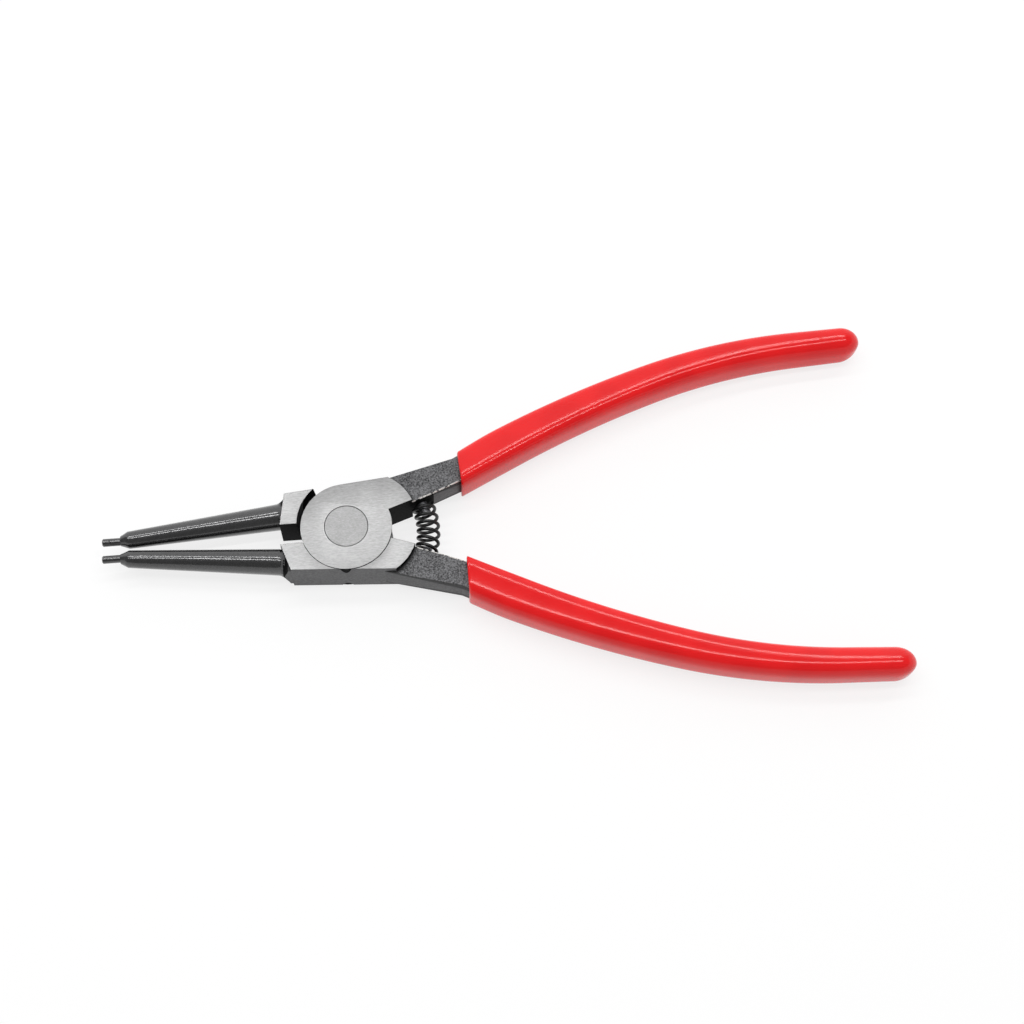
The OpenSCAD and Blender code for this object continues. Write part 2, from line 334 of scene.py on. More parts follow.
@dataclass(frozen=True)
class DippedVinyl:
    """Plasticised vinyl, hot dipped: deep glossy red, flowed smooth, with slow waves in its skin."""

    name: str = "dipped_vinyl"
    red: str = "#E4191C"
    deep: str = "#DB1418"
    tones: Range = (0.35, 0.65)
    wave: float = 9.0
    wave_relief: float = 0.035
    skin: float = 0.9
    skin_relief: float = 0.004
    bump: float = 0.6
    roughness: Range = (0.12, 0.18)
    ior: float = 1.5
    specular: float = 0.34

    def material(self) -> Material:
        """Make the material.

        Returns:
            The dipped vinyl material.
        """
        material, shader, coords = new_material(self.name)
        tree = material.node_tree
        waves = add_node(tree, "ShaderNodeTexNoise", {
            "Vector": coords, "Scale": per_metre(self.wave), "Detail": 1.0})
        grain = add_node(tree, "ShaderNodeTexNoise", {
            "Vector": coords, "Scale": per_metre(self.skin), "Detail": 2.0})
        tone = add_node(tree, "ShaderNodeMapRange", {
            "Value": waves, "From Min": self.tones[0], "From Max": self.tones[1]})
        colour = add_node(tree, "ShaderNodeMix", {
            FACTOR: tone, COLOUR_A: linear(self.deep), COLOUR_B: linear(self.red)}, data_type="RGBA")
        rough = add_node(tree, "ShaderNodeMapRange", {
            "Value": grain, "To Min": self.roughness[0], "To Max": self.roughness[1]})
        slow = add_node(tree, "ShaderNodeBump", {
            "Height": waves, "Strength": self.bump, "Distance": self.wave_relief * MM})
        fine = add_node(tree, "ShaderNodeBump", {
            "Height": grain, "Strength": self.bump, "Distance": self.skin_relief * MM, "Normal": slow})
        fill(tree, shader, {
            "IOR": self.ior, "Specular IOR Level": self.specular, "Base Color": colour.outputs[MIXED],
            "Roughness": rough, "Normal": fine})
        return material


@dataclass(frozen=True)
class OiledWire:
    """Hard-drawn spring wire, oil blackened: black with a bright line where light grazes its drawn skin."""

    name: str = "oiled_wire"
    black: str = "#0C0C0D"
    grey: str = "#1F1F20"
    tones: Range = (0.4, 0.7)
    streak: float = 0.5
    roughness: Range = (0.22, 0.4)
    metallic: float = 0.2

    def material(self) -> Material:
        """Make the material.

        Returns:
            The wire material.
        """
        material, shader, coords = new_material(self.name)
        tree = material.node_tree
        streaks = add_node(tree, "ShaderNodeTexNoise", {
            "Vector": coords, "Scale": per_metre(self.streak), "Detail": 3.0, "Roughness": 0.6})
        tone = add_node(tree, "ShaderNodeMapRange", {
            "Value": streaks, "From Min": self.tones[0], "From Max": self.tones[1]})
        colour = add_node(tree, "ShaderNodeMix", {
            FACTOR: tone, COLOUR_A: linear(self.black), COLOUR_B: linear(self.grey)}, data_type="RGBA")
        rough = add_node(tree, "ShaderNodeMapRange", {
            "Value": streaks, "To Min": self.roughness[0], "To Max": self.roughness[1]})
        fill(tree, shader, {
            "Metallic": self.metallic, "Base Color": colour.outputs[MIXED], "Roughness": rough})
        return material


# Faces of the head, ground after blackening: the palest steel on the tool, with streaks along it.
GROUND = GroundSteel()
# The rivet's softer steel takes shorter scratches and grinds a little duller than the head round it.
RIVET = GroundSteel(
    name="rivet_ground_steel", pale="#969696", dull="#727272", scratch_len=0.5, cloud=3.0)
# Front and rear of the handles, as blasted: the strongest grain, with painted shade in the corner at the
# head.
FORGED = BlackenedSteel(
    "forged_skin", "#131314", "#6E6E70", pebble=0.34, relief=0.06, roughness=0.5, contrast=0.19,
    corner_shade=(12.1, 13.0))
# Side walls of the handles, sheared where the flash was: a smoother, even grey.
TRIMMED = BlackenedSteel("trimmed_walls", "#444445", "#5A5A5B", pebble=0.5, relief=0.03, roughness=0.5)
# Jaws, turned before blackening and left oily: nearly black, with the lamps as a thin bright line.
TURNED = BlackenedSteel(
    "turned_jaws", "#1F1F20", "#3F3F40", pebble=0.34, relief=0.014, roughness=0.33, metallic=0.9, oil=1.0)
# Side walls of the head, milled: even middle grey, little grain, paler than the handles' as painted light.
MILLED = BlackenedSteel("milled_walls_painted_light", "#4B4B4C", "#606061", pebble=0.5, relief=0.03, roughness=0.5)
# Walls in the joint and behind the spring: painted shade, near black, giving almost no light back.
INNER = BlackenedSteel(
    "inner_walls_painted_shade", "#040405", "#0E0E0F", pebble=0.5, relief=0.03, roughness=0.6, metallic=0.0,
    specular=0.05)
# Strips of the handles' walls that still lean as the dies left them: dull, scaly and darker than the rest.
DRAFTED = BlackenedSteel(
    "drafted_walls", "#101011", "#343435", pebble=0.34, relief=0.05, roughness=0.55, metallic=0.0,
    specular=0.3)
# Spring pegs, cut from drawn rod: dull dark grey.
PEG = BlackenedSteel("peg_steel", "#303031", "#565657", pebble=0.6, relief=0.02, roughness=0.4)
VINYL = DippedVinyl()
WIRE = OiledWire()

STEEL_OF: dict[Surface, GroundSteel | BlackenedSteel] = {
    Surface.GROUND: GROUND, Surface.FORGED: FORGED, Surface.TRIMMED: TRIMMED, Surface.TURNED: TURNED,
    Surface.MILLED: MILLED, Surface.INNER: INNER, Surface.DRAFTED: DRAFTED}


def shared(finish: GroundSteel | BlackenedSteel | DippedVinyl) -> Material:
    """Material of a finish, made the first time that a piece asks for it."""
    return bpy.data.materials.get(finish.name) or finish.material()


def finished(name: str, mesh: Mesh, body: Body, slot: str, *nodes: str) -> Object:
    """Put a finished mesh in the scene as a piece that stands for solids.

    Args:
        name: The piece's name.
        mesh: Its mesh, in place.
        body: The half that it moves with.
        slot: The record's material slot; not used.
        nodes: The solids that it stands for.

    Returns:
        The piece.
    """
    piece = bpy.data.objects.new(name, mesh)
    bpy.context.scene.collection.objects.link(piece)
    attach(piece, body.value)
    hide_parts(*nodes)
    return piece


def merged_copy(node: str, merge: float) -> BMesh:
    """Copy a solid's mesh, with its faces joined and without the normals stored for its sharp corners.

    Args:
        node: The solid.
        merge: How close corners are joined, in millimetres.

    Returns:
        The copy.
    """
    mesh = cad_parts[node].data.copy()
    stored = mesh.attributes.get("custom_normal")
    if stored:
        mesh.attributes.remove(stored)
    bm = bmesh.new()
    bm.from_mesh(mesh)
    bpy.data.meshes.remove(mesh)
    bmesh.ops.remove_doubles(bm, verts=bm.verts, dist=merge * MM)
    return bm


def plain_mesh(bm: BMesh, name: str, crease: float) -> Mesh:
    """Turn an edited mesh into a plain one.

    Args:
        bm: The edited mesh, which is freed.
        name: The new mesh's name.
        crease: The angle past which an edge shades sharp, in degrees.

    Returns:
        The plain mesh.
    """
    mesh = bpy.data.meshes.new(name)
    bm.to_mesh(mesh)
    bm.free()
    mesh.set_sharp_from_angle(angle=math.radians(crease))
    return mesh


@dataclass
class Lever:
    """One forged lever: its head with ground faces, its blackened jaw and its handle."""

    side: Side
    node: str
    name: str
    body: Body
    # Where the jaw and the handle begin, and where the spring's seat ends.
    jaw_start: float = -15.05
    arm_start: float = 7.5
    seat_end: float = 21.5
    # The handle's thickness, and a radius that holds the rivet's bore.
    arm_t: float = 7.0
    bore_r: float = 5.4
    # The trimmed band in the middle of the handle's walls, and the lean of the walls above and below it.
    band: float = 3.2
    draft: float = 0.2
    draft_least: float = 0.2
    draft_from: float = 16.1
    draft_full: float = 27.0
    # The rounding of corners, and how far the handle's are rubbed bare.
    arm_round: float = 0.3
    arm_steps: int = 4
    head_round: float = 0.07
    head_steps: int = 2
    inner_wear: float = 1.0
    outer_wear: float = 0.4
    # The bend that makes a corner, the bend that joins faces, and how close heights and points are one.
    crease: float = 25.0
    coplanar: float = 0.4
    flat: float = 0.03
    merge: float = 0.002
    # Shares of a normal: of a wall, a level face, a slope, a wall to the axis and one to the jaws; and the
    # least length of summed normals that gives a way outwards.
    wall_z: float = 0.1
    level_z: float = 0.9
    slope_z: float = 0.35
    axis_y: float = 0.5
    jaws_x: float = 0.6
    least_out: float = 0.1
    # Heights of the ground faces and of the plane halfway, read from the solid.
    front: float = field(init=False)
    rear: float = field(init=False)
    middle: float = field(init=False)

    def __post_init__(self) -> None:
        """Read the head's heights from the solid."""
        low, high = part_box(self.node)
        self.front, self.rear = high.z / MM, low.z / MM
        self.middle = (self.front + self.rear) / 2

    def build(self) -> Object:
        """Round the edges of a copy of the solid's mesh; dress faces as made, or with painted light or
        shade.

        Returns:
            The lever's piece.
        """
        bm = merged_copy(self.node, self.merge)
        bmesh.ops.dissolve_limit(
            bm, angle_limit=math.radians(self.coplanar), verts=bm.verts, edges=bm.edges)
        for face in bm.faces:
            face.smooth = False
        self.cut_band(bm)
        self.lean_walls(bm)
        self.round_edges(bm)
        for face in bm.faces:
            surface = self.surface_of(face)
            face.smooth = face.smooth or surface is Surface.TURNED
            face.material_index = surface.value
        mesh = plain_mesh(bm, self.name, self.crease)
        for surface in Surface:
            mesh.materials.append(shared(STEEL_OF[surface]))
        return finished(self.name, mesh, self.body, "forged_steel", self.node)

    def drafted(self, vert: BMVert) -> float:
        """Share of the full draft at a point of the handle: none at the head, all of it at the grip."""
        away = vert.co.xy.length / MM
        return min(max((away - self.draft_from) / (self.draft_full - self.draft_from), 0), 1)

    def on_arm_plane(self, vert: BMVert) -> bool:
        """Whether a point lies in the handle's front or rear plane."""
        return abs(abs(vert.co.z / MM - self.middle) - self.arm_t / 2) < self.flat

    def is_wall(self, face: BMFace) -> bool:
        """Whether a face is square to the ground faces."""
        return abs(face.normal.z) < self.wall_z

    def cut_band(self, bm: BMesh) -> None:
        """Cut the handle's walls above and below the trimmed band, which is widest at the head.

        Args:
            bm: The lever's mesh.
        """
        start = self.arm_start * MM
        walls = [
            face for face in bm.faces
            if self.is_wall(face) and min(vert.co.x for vert in face.verts) > start
            and any(self.on_arm_plane(vert) for vert in face.verts)]
        for way in (1, -1):
            level = Vector((0, 0, self.middle + way * self.band / 2)) * MM
            edges = dict.fromkeys(edge for face in walls for edge in face.edges)
            verts = dict.fromkeys(vert for face in walls for vert in face.verts)
            cut = bmesh.ops.bisect_plane(
                bm, geom=[*walls, *edges, *verts], dist=self.merge * MM, plane_co=level, plane_no=(0, 0, 1))
            corners = [item for item in cut["geom"] if isinstance(item, BMVert)]
            walls = list(dict.fromkeys(
                face for vert in corners for face in vert.link_faces
                if self.is_wall(face) and face.calc_center_median().x > start))
            for vert in cut["geom_cut"]:
                if isinstance(vert, BMVert):
                    plane = self.middle + way * self.arm_t / 2
                    height = (self.arm_t - self.band) / 2 * max(self.drafted(vert), self.draft_least)
                    vert.co.z = (plane - way * height) * MM

    def lean_walls(self, bm: BMesh) -> None:
        """Lean the handle's walls in above and below the trimmed band, as they come from the dies.

        Args:
            bm: The lever's mesh.
        """
        moves = {}
        for vert in bm.verts:
            if self.on_arm_plane(vert) and self.drafted(vert) > 0:
                out = sum((face.normal for face in vert.link_faces if self.is_wall(face)), Vector())
                if out.length > self.least_out:
                    moves[vert] = -out.normalized() * self.draft * self.drafted(vert) * MM
        for vert, move in moves.items():
            vert.co += move

    def round_edges(self, bm: BMesh) -> None:
        """Round the outer corners, and mark how much the handle's are rubbed bare.

        Args:
            bm: The lever's mesh.
        """
        worn = bm.verts.layers.float.new(WORN)
        for pick, size, steps, wear in (
                (self.inner_edge, self.arm_round, self.arm_steps, self.inner_wear),
                (self.outer_edge, self.arm_round, self.arm_steps, self.outer_wear),
                (self.head_edge, self.head_round, self.head_steps, 0.0)):
            bm.normal_update()
            made = bmesh.ops.bevel(
                bm, geom=[edge for edge in bm.edges if self.convex(edge) and pick(edge)], offset=size * MM,
                offset_type="OFFSET", segments=steps, profile=0.5, affect="EDGES", clamp_overlap=True)
            rounded = set(made["faces"])
            for face in rounded:
                face.smooth = True
                for vert in face.verts:
                    if rounded.issuperset(vert.link_faces):
                        vert[worn] = wear

    def convex(self, edge: BMEdge) -> bool:
        """Whether an edge is a sharp outer corner."""
        return len(edge.link_faces) == 2 and edge.calc_face_angle_signed() > math.radians(self.crease)

    def arm_edge(self, edge: BMEdge) -> bool:
        """Whether an edge is a long corner of the handle."""
        return all(self.on_arm_plane(vert) and vert.co.x > self.arm_start * MM for vert in edge.verts)

    def inner_edge(self, edge: BMEdge) -> bool:
        """Whether an edge is a corner on the handle's side that faces the tool's axis."""
        return self.arm_edge(edge) and any(self.faces_axis(face) for face in edge.link_faces)

    def outer_edge(self, edge: BMEdge) -> bool:
        """Whether an edge is another corner of the handle."""
        return self.arm_edge(edge) and not self.inner_edge(edge)

    def head_edge(self, edge: BMEdge) -> bool:
        """Whether an edge is a corner of a ground face, apart from the rivet's bore.

        Args:
            edge: An edge of the lever.

        Returns:
            True for such a corner.
        """
        heights = [vert.co.z / MM for vert in edge.verts]
        flush = any(all(abs(h - plane) < self.flat for h in heights) for plane in (self.rear, self.front))
        return flush and min(vert.co.xy.length for vert in edge.verts) > self.bore_r * MM

    def faces_axis(self, face: BMFace) -> bool:
        """Whether a wall looks towards the tool's axis."""
        return self.side.value * face.normal.y < -self.axis_y

    def surface_of(self, face: BMFace) -> Surface:
        """How a face was made, or what light or shade is painted on it.

        Args:
            face: A face of the lever.

        Returns:
            The kind of surface.
        """
        centre = face.calc_center_median() / MM
        height = abs(centre.z - self.middle)
        if centre.x < self.jaw_start:
            return Surface.TURNED
        if abs(face.normal.z) > self.level_z and height > (self.front - self.rear) / 2 - self.flat:
            return Surface.GROUND
        # Painted shade: walls behind the jaws and walls facing the axis in the joint are painted near
        # black.
        behind_jaws = face.normal.x < -self.jaws_x and centre.x < 0
        if behind_jaws or self.faces_axis(face) and centre.x < self.seat_end:
            return Surface.INNER
        # Painted light: the head's walls take a paler grey than the handles' walls.
        if centre.x < self.arm_start:
            return Surface.MILLED
        # Painted shade: the steps above the handle's planes are painted near black too.
        if height > self.arm_t / 2 + self.flat:
            return Surface.INNER
        if abs(face.normal.z) > self.slope_z:
            return Surface.FORGED
        return Surface.DRAFTED if height > self.band / 2 + self.flat else Surface.TRIMMED


@dataclass
class Rivet:
    """The flush pivot rivet, ground together with the head."""

    node: str = "pivot_rivet"
    name: str = "pivot_rivet_ground"
    merge: float = 0.002
    crease: float = 30.0
    level_z: float = 0.9

    def build(self) -> Object:
        """Dress a merged copy of the rivet, with flat ends and a smooth shank.

        Returns:
            The rivet's piece.
        """
        bm = merged_copy(self.node, self.merge)
        for face in bm.faces:
            face.smooth = abs(face.normal.z) < self.level_z
        mesh = plain_mesh(bm, self.name, self.crease)
        mesh.materials.append(shared(RIVET))
        return finished(self.name, mesh, Body.UPPER, "rivet_steel", self.node)


@dataclass
class HandleLine:
    """Centre line of the upper handle from the grip's mouth: two bends and a straight end."""

    mouth_x: float = 26.4
    mouth_angle: float = 26.1
    headings: tuple[float, float, float] = (28.6, 17.7, 3.1)
    lengths: tuple[float, float, float] = (51.0, 36.0, 16.0)

    def length(self) -> float:
        """Length of the whole line."""
        return sum(self.lengths)

    def heading(self, s: float) -> float:
        """Heading at length s, in radians.

        Args:
            s: Length from the mouth.

        Returns:
            The angle from +X.
        """
        first, second, last = self.headings
        bend_1, bend_2, _ = self.lengths
        if s < bend_1:
            turn = first + (second - first) * max(s, 0) / bend_1
        else:
            turn = second + (last - second) * min((s - bend_1) / bend_2, 1)
        return math.radians(turn)

    def at(self, s: float) -> Point:
        """Point on the line at length s.

        Args:
            s: Length from the mouth; it may be below zero.

        Returns:
            The point in the tool's plane.
        """
        x, y = self.mouth_x, self.mouth_x * math.tan(math.radians(self.mouth_angle))
        start = 0.0
        for length in self.lengths:
            run = min(s - start, length)
            if run > 0 or start == 0:
                half = (self.heading(start + run) - self.heading(start)) / 2
                chord = run * math.sin(half) / half if half else run
                x += chord * math.cos(self.heading(start) + half)
                y += chord * math.sin(self.heading(start) + half)
            start += length
        return x, y


@dataclass
class Grip:
    """One dipped grip: a seamless coat that swells behind its mouth and closes in a blunt point."""

    side: Side
    node: str
    name: str
    body: Body
    line: HandleLine = field(default_factory=HandleLine)
    # Half widths and half thicknesses, and where the coat is widest.
    mouth_w: float = 4.15
    full_w: float = 4.45
    end_w: float = 3.45
    full_at: float = 12.0
    full_t: float = 5.05
    end_t: float = 4.4
    nose: float = 4.8
    nose_power: float = 0.55
    # The mouth: its rounded lip, the length over which its slant fades, and its tilt.
    lip: float = 0.45
    slant_fade: float = 14.0
    mouth_tilt: float = 0.0
    # How square the section is, on top from mouth to end and underneath, and how its top leans to one side.
    squareness: Range = (4.0, 2.4)
    under: float = 4.0
    leans: Range = (0.0, 0.0)
    lean_crest: float = 0.42
    # How far the coat stays inside the solid's outline.
    margin: float = 0.02
    rings: int = 150
    nose_rings: int = 24
    lip_rings: int = 6
    sides: int = 72
    crease: float = 40.0

    def half_width(self, s: float) -> float:
        """Half width of the coat at length s.

        Args:
            s: Length from the mouth.

        Returns:
            The half width.
        """
        if s < self.full_at:
            swell = math.sin(math.pi / 2 * max(s, 0) / self.full_at)
            return self.mouth_w + (self.full_w - self.mouth_w) * swell
        taper = (self.end_w - self.full_w) * (s - self.full_at)
        return self.full_w + taper / (self.line.length() - self.full_at)

    def half_thickness(self, s: float) -> float:
        """Half thickness of the coat at length s."""
        return self.full_t + (self.end_t - self.full_t) * max(s, 0) / self.line.length()

    def shrink(self, s: float) -> float:
        """Share of the full section at length s: less over the nose."""
        past = (s - self.line.length() + self.nose) / self.nose
        return 1.0 if past <= 0 else max(1 - past * past, 0) ** self.nose_power

    def tucked(self, s: float) -> float:
        """How far the section is drawn in at length s, on the rounded lip of the mouth."""
        left = 1 - min(s / self.lip, 1)
        return self.lip * (1 - math.sqrt(1 - left * left))

    def section(self, s: float, angle: float) -> Point:
        """Point of the section at length s.

        Args:
            s: Length from the mouth.
            angle: Angle round the section, in radians.

        Returns:
            The way outwards from the centre line, and the way up.
        """
        part = s / self.line.length()
        over = self.squareness[0] + (self.squareness[1] - self.squareness[0]) * part
        power = 2 / (over if math.sin(angle) > 0 else self.under)
        across = math.copysign(abs(math.cos(angle)) ** power, math.cos(angle))
        up = math.copysign(abs(math.sin(angle)) ** power, math.sin(angle))
        lean = self.leans[0] + (self.leans[1] - self.leans[0]) * part
        fat = (1 - lean * across) / (1 + abs(lean) * self.lean_crest) if up > 0 else 1
        k = self.shrink(s)
        tuck = self.tucked(s) + self.margin * k
        return (k * self.half_width(s) - tuck) * across, (k * self.half_thickness(s) * fat - tuck) * up

    def place(self, s: float, out: float) -> Point:
        """Point beside the centre line; the sections lean near the mouth, which is cut square to the tool.

        Args:
            s: Length from the mouth.
            out: The way outwards.

        Returns:
            The point in the tool's plane.
        """
        near = max(1 - s / self.slant_fade, 0)
        slant = math.tan(self.line.heading(0)) - self.mouth_tilt
        along = s + out * slant * near * near * (3 - 2 * near)
        x, y = self.line.at(along)
        a = self.line.heading(along)
        return x - out * math.sin(a), y + out * math.cos(a)

    def stations(self) -> list[float]:
        """Lengths of the rings, close together on the lip and the nose.

        Returns:
            The lengths from the mouth.
        """
        straight = self.line.length() - self.nose
        reach = self.nose - 2 * self.margin
        lip = [
            self.lip * (1 - math.cos(math.pi / 2 * i / self.lip_rings)) for i in range(self.lip_rings)]
        body = [self.lip + (straight - self.lip) * i / self.rings for i in range(self.rings)]
        nose = [
            straight + reach * math.sin(math.pi / 2 * i / self.nose_rings) for i in range(self.nose_rings)]
        return lip + body + nose

    def build(self) -> Object:
        """Loft the coat along the handle.

        Returns:
            The grip's piece.
        """
        low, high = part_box(self.node)
        middle = (low.z + high.z) / 2 / MM
        bm = bmesh.new()
        rings = []
        for s in self.stations():
            ring = []
            for j in range(self.sides):
                out, up = self.section(s, 2 * math.pi * j / self.sides)
                x, y = self.place(s, out)
                ring.append(bm.verts.new(Vector((x, self.side.value * y, middle + up)) * MM))
            rings.append(ring)
        tip_x, tip_y = self.line.at(self.line.length() - self.margin)
        tip = bm.verts.new(Vector((tip_x, self.side.value * tip_y, middle)) * MM)
        for one, two in zip(rings, rings[1:]):
            for j in range(self.sides):
                k = (j + 1) % self.sides
                bm.faces.new((one[j], one[k], two[k], two[j]))
        for j in range(self.sides):
            bm.faces.new((rings[-1][j], rings[-1][(j + 1) % self.sides], tip))
        bm.faces.new(rings[0])
        bmesh.ops.recalc_face_normals(bm, faces=bm.faces)
        for face in bm.faces:
            face.smooth = True
        mesh = plain_mesh(bm, self.name, self.crease)
        mesh.materials.append(shared(VINYL))
        return finished(self.name, mesh, self.body, "red_dip", self.node)


@dataclass
class ReturnSpring:
    """The coil spring between the handles, wound on a helix that is bent about the pivot."""

    node: str = "return_spring"
    name: str = "return_spring_wire"
    turns: float = 6.5
    coil_r: float = 2.35
    wire_r: float = 0.4
    axis_r: float = 18.4
    span: float = 17.815
    end_turn: float = 0.5
    end_pitch: float = 0.848
    rings: int = 260
    wire_sides: int = 14
    blend_reach: float = 1.25

    def helix(self, tree: NodeTree, sizes: Node) -> Node:
        """Add the nodes that work out where each point of the wire's centre goes.

        Args:
            tree: The node tree.
            sizes: Its input node.

        Returns:
            The node that gives the points, on a helix whose first and last half turns are wound close.
        """
        given = sizes.outputs
        part = add_node(tree, "GeometryNodeSplineParameter").outputs["Factor"]
        rounds = add_node(tree, "ShaderNodeMath", {0: part, 1: given["Turns"]}, operation="MULTIPLY")
        phase = add_node(tree, "ShaderNodeMath", {0: rounds, 1: 2 * math.pi}, operation="MULTIPLY")
        last = add_node(tree, "ShaderNodeMath", {
            0: given["Turns"], 1: given["End Turn"]}, operation="SUBTRACT")
        rest = add_node(tree, "ShaderNodeMath", {
            0: given["End Share"], 1: -2.0, 2: 1.0}, operation="MULTIPLY_ADD")
        first_end = add_node(tree, "ShaderNodeMapRange", {
            "Value": rounds, "From Max": given["End Turn"], "To Max": given["End Share"]})
        open_turns = add_node(tree, "ShaderNodeMapRange", {
            "Value": rounds, "From Min": given["End Turn"], "From Max": last, "To Max": rest})
        last_end = add_node(tree, "ShaderNodeMapRange", {
            "Value": rounds, "From Min": last, "From Max": given["Turns"], "To Max": given["End Share"]})
        most = add_node(tree, "ShaderNodeMath", {0: first_end, 1: open_turns}, operation="ADD")
        spread = add_node(tree, "ShaderNodeMath", {0: most, 1: last_end}, operation="ADD")
        back = add_node(tree, "ShaderNodeMath", {0: given["Half Span"], 1: -1.0}, operation="MULTIPLY")
        turn = add_node(tree, "ShaderNodeMapRange", {
            "Value": spread, "To Min": given["Half Span"], "To Max": back})
        swing = add_node(tree, "ShaderNodeMath", {0: phase}, operation="COSINE")
        back_phase = add_node(tree, "ShaderNodeMath", {0: phase, 1: -1.0}, operation="MULTIPLY")
        rise = add_node(tree, "ShaderNodeMath", {0: back_phase}, operation="SINE")
        reach = add_node(tree, "ShaderNodeMath", {
            0: swing, 1: given["Coil Radius"], 2: given["Axis Radius"]}, operation="MULTIPLY_ADD")
        level = add_node(tree, "ShaderNodeMath", {
            0: rise, 1: given["Coil Radius"], 2: given["Height"]}, operation="MULTIPLY_ADD")
        cos_turn = add_node(tree, "ShaderNodeMath", {0: turn}, operation="COSINE")
        sin_turn = add_node(tree, "ShaderNodeMath", {0: turn}, operation="SINE")
        x = add_node(tree, "ShaderNodeMath", {0: reach, 1: cos_turn}, operation="MULTIPLY")
        y = add_node(tree, "ShaderNodeMath", {0: reach, 1: sin_turn}, operation="MULTIPLY")
        return add_node(tree, "ShaderNodeCombineXYZ", {"X": x, "Y": y, "Z": level})

    def tree(self) -> GeometryNodeTree:
        """Build the node tree that winds the wire.

        Returns:
            The tree, with its sizes as named inputs.
        """
        tree = bpy.data.node_groups.new("wound_spring", "GeometryNodeTree")
        for name in ("Turns", "End Turn", "End Share", "Coil Radius", "Wire Radius", "Axis Radius",
                     "Half Span", "Height"):
            tree.interface.new_socket(name, in_out="INPUT", socket_type="NodeSocketFloat")
        tree.interface.new_socket("Rings", in_out="INPUT", socket_type="NodeSocketInt")
        tree.interface.new_socket("Finish", in_out="INPUT", socket_type="NodeSocketMaterial")
        tree.interface.new_socket("Wire", in_out="OUTPUT", socket_type="NodeSocketGeometry")
        sizes = add_node(tree, "NodeGroupInput")
        given = sizes.outputs
        line = add_node(tree, "GeometryNodeCurvePrimitiveLine", {"End": (0.0, 0.0, 1.0)})
        even = add_node(tree, "GeometryNodeResampleCurve", {"Curve": line, "Count": given["Rings"]})
        wound = add_node(tree, "GeometryNodeSetPosition", {
            "Geometry": even, "Position": self.helix(tree, sizes)})
        round_wire = add_node(tree, "GeometryNodeCurvePrimitiveCircle", {
            "Resolution": self.wire_sides, "Radius": given["Wire Radius"]})
        tube = add_node(tree, "GeometryNodeCurveToMesh", {
            "Curve": wound, "Profile Curve": round_wire, "Fill Caps": True})
        smooth = add_node(tree, "GeometryNodeSetShadeSmooth", {"Geometry": tube})
        real = add_node(tree, "GeometryNodeRealizeInstances", {"Geometry": smooth})
        dressed = add_node(tree, "GeometryNodeSetMaterial", {"Geometry": real, "Material": given["Finish"]})
        add_node(tree, "NodeGroupOutput", {"Wire": dressed})
        return tree

    def wound_mesh(self) -> Mesh:
        """Wind the wire with the node tree, and keep the result as a plain mesh.

        Returns:
            The wire's mesh, in place.
        """
        low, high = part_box(self.node)
        tree = self.tree()
        axis_len = 2 * self.axis_r * math.radians(self.span)
        sizes = {
            "Turns": self.turns, "End Turn": self.end_turn,
            "End Share": self.end_turn * self.end_pitch / axis_len,
            "Coil Radius": self.coil_r * MM, "Wire Radius": self.wire_r * MM,
            "Axis Radius": self.axis_r * MM, "Half Span": math.radians(self.span),
            "Height": (low.z + high.z) / 2, "Rings": self.rings, "Finish": WIRE.material()}
        winder = bpy.data.objects.new("spring_winder", bpy.data.meshes.new("spring_winder"))
        bpy.context.scene.collection.objects.link(winder)
        modifier = winder.modifiers.new("wind", "NODES")
        modifier.node_group = tree
        for item in tree.interface.items_tree:
            if item.in_out == "INPUT":
                modifier[item.identifier] = sizes[item.name]
        evaluated = winder.evaluated_get(bpy.context.evaluated_depsgraph_get())
        mesh = bpy.data.meshes.new_from_object(evaluated)
        bpy.data.objects.remove(winder)
        mesh.name = self.name
        return mesh

    def build(self) -> Object:
        """Wind the spring in place of its solid.

        Returns:
            The spring's piece.
        """
        piece = bpy.data.objects.new(self.name, self.wound_mesh())
        bpy.context.scene.collection.objects.link(piece)
        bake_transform(piece)
        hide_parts(self.node)
        return piece


@dataclass
class SpringPeg:
    """One of the two round pegs that hold the spring's ends."""

    node: str

    def build(self) -> Object:
        """Give the peg's own solid its finish.

        Returns:
            The peg.
        """
        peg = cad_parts[self.node]
        peg.data.materials.clear()
        peg.data.materials.append(shared(PEG))
        return peg


